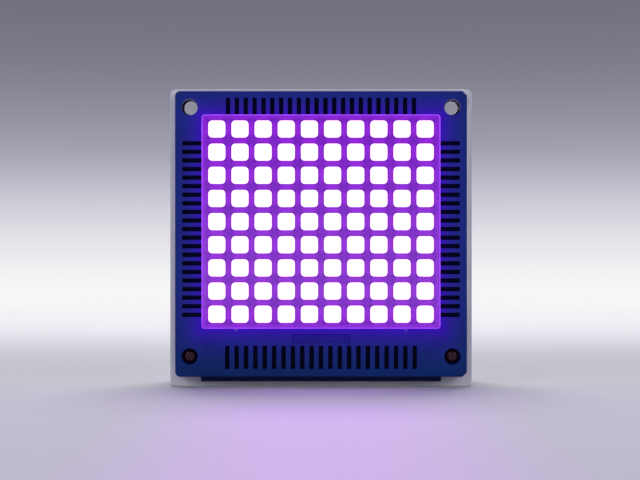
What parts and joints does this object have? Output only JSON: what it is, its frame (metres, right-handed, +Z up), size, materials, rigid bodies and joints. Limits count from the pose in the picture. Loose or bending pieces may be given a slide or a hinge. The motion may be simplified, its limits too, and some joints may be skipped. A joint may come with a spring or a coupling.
{
  "type": "led dot matrix display module",
  "caption": "Square LED dot matrix module: lit dots behind a clear cover in a slotted blue housing, screwed to a pale rear case with through holes at its upper corners.",
  "frame": {"origin": "middle of the bounding box, at its bottom, where the rear case stands on the surface", "axes": "+X to the right seen from the front, across the display; +Y from the lit face to the back; +Z up"},
  "size_m": [0.1, 0.0328, 0.0984],
  "materials": {
    "blue_plastic": "satin moulded, lit violet near the window",
    "clear_cover": "clear, polished, edge-lit",
    "reflector_plastic": "matte, lit by the dots",
    "lit_diffuser": "diffusing, lit",
    "led_package": "moulded",
    "board_laminate": "solder resist over glass laminate",
    "chip_epoxy": "fine matte",
    "ceramic": "matte",
    "can_aluminium": "drawn can",
    "black_plastic": "fine matte",
    "gilt_pin": "plated",
    "bright_steel": "bright zinc",
    "maroon_steel": "dark maroon, glossy",
    "milky_plastic": "milky, slightly translucent"
  },
  "bodies": {
    "root": {"front_housing": "blue_plastic", "cover_lens": "clear_cover", "reflector": "reflector_plastic", "dot_row_1": "lit_diffuser", "dot_row_2": "lit_diffuser", "dot_row_3": "lit_diffuser", "dot_row_4": "lit_diffuser", "dot_row_5": "lit_diffuser", "dot_row_6": "lit_diffuser", "dot_row_7": "lit_diffuser", "dot_row_8": "lit_diffuser", "dot_row_9": "lit_diffuser", "led_row_1": "led_package", "led_row_2": "led_package", "led_row_3": "led_package", "led_row_4": "led_package", "led_row_5": "led_package", "led_row_6": "led_package", "led_row_7": "led_package", "led_row_8": "led_package", "led_row_9": "led_package", "circuit_board": "board_laminate", "column_driver_left": "chip_epoxy", "column_driver_right": "chip_epoxy", "row_driver": "chip_epoxy", "resistors": "chip_epoxy", "ceramic_capacitors": "ceramic", "electrolytic_capacitor": "can_aluminium", "connector_shroud": "black_plastic", "connector_pins": "gilt_pin", "board_screws": "bright_steel", "fixing_screws": "maroon_steel", "rear_case": "milky_plastic"}
  },
  "joints": []
}
